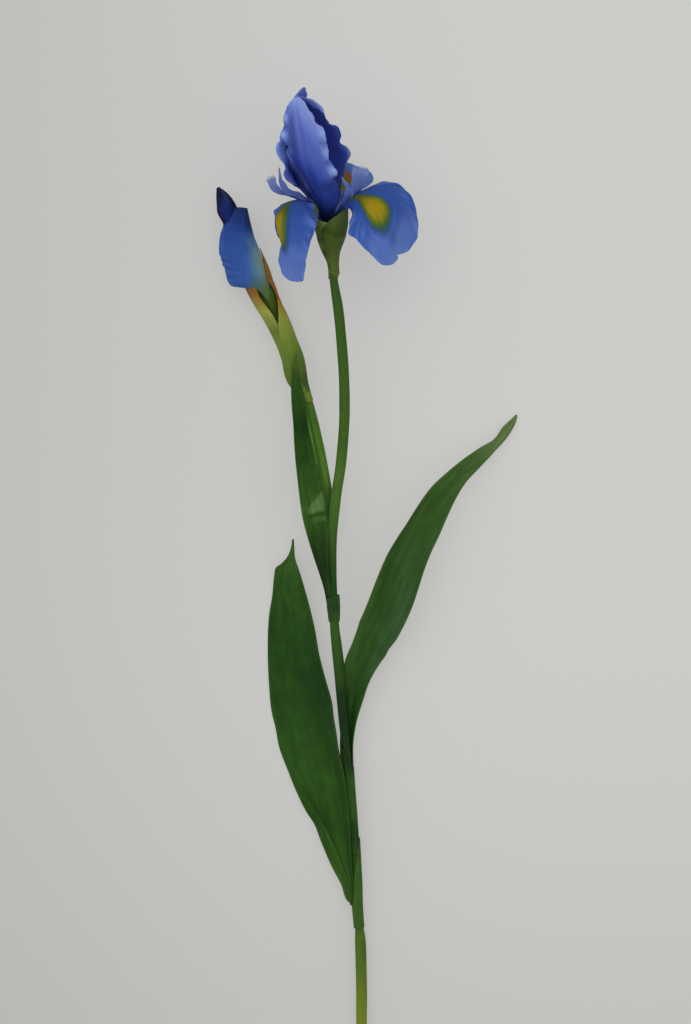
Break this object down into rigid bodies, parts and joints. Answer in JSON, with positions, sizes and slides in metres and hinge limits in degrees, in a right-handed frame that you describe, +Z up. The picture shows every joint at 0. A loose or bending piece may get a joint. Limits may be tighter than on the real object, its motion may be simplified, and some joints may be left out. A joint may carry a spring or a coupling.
{
  "type": "iris flower",
  "caption": "Cut iris stem lying on its side, with an open violet-blue bloom, a coloured bud on a side stem, long strap leaves and papery valves.",
  "frame": {"origin": "middle of the plant's outline seen from above, on the surface it lies on", "axes": "+Y along the stem from its cut end to the bloom, +Z up from the surface, +X to the side of the tall right leaf"},
  "size_m": [0.2304, 0.7813, 0.0806],
  "materials": {
    "stem": "satin",
    "leaf": "satin",
    "valve": "matte",
    "bud_valve": "matte",
    "standard": "matte",
    "fall": "matte",
    "style_arm": "matte",
    "stamen": "matte",
    "bud_petal": "matte",
    "bud_tip": "matte"
  },
  "bodies": {
    "root": {"main_stem": "stem", "side_stem": "stem", "left_leaf": "leaf", "right_leaf": "leaf", "upper_leaf": "leaf", "flower_valve_right": "valve", "flower_valve_left": "valve", "flower_tube": "stem", "standard_front": "standard", "standard_right": "standard", "standard_left": "standard", "fall_right": "fall", "fall_left": "fall", "fall_back": "fall", "style_arm_right": "style_arm", "style_arm_left": "style_arm", "style_arm_back": "style_arm", "stamen_right": "stamen", "stamen_left": "stamen", "stamen_back": "stamen", "bud_valve_right": "bud_valve", "bud_valve_left": "bud_valve", "bud_tube": "stem", "bud_petal_front": "bud_petal", "bud_petal_back": "bud_petal", "bud_tip_front": "bud_tip", "bud_tip_back": "bud_tip"}
  },
  "joints": []
}
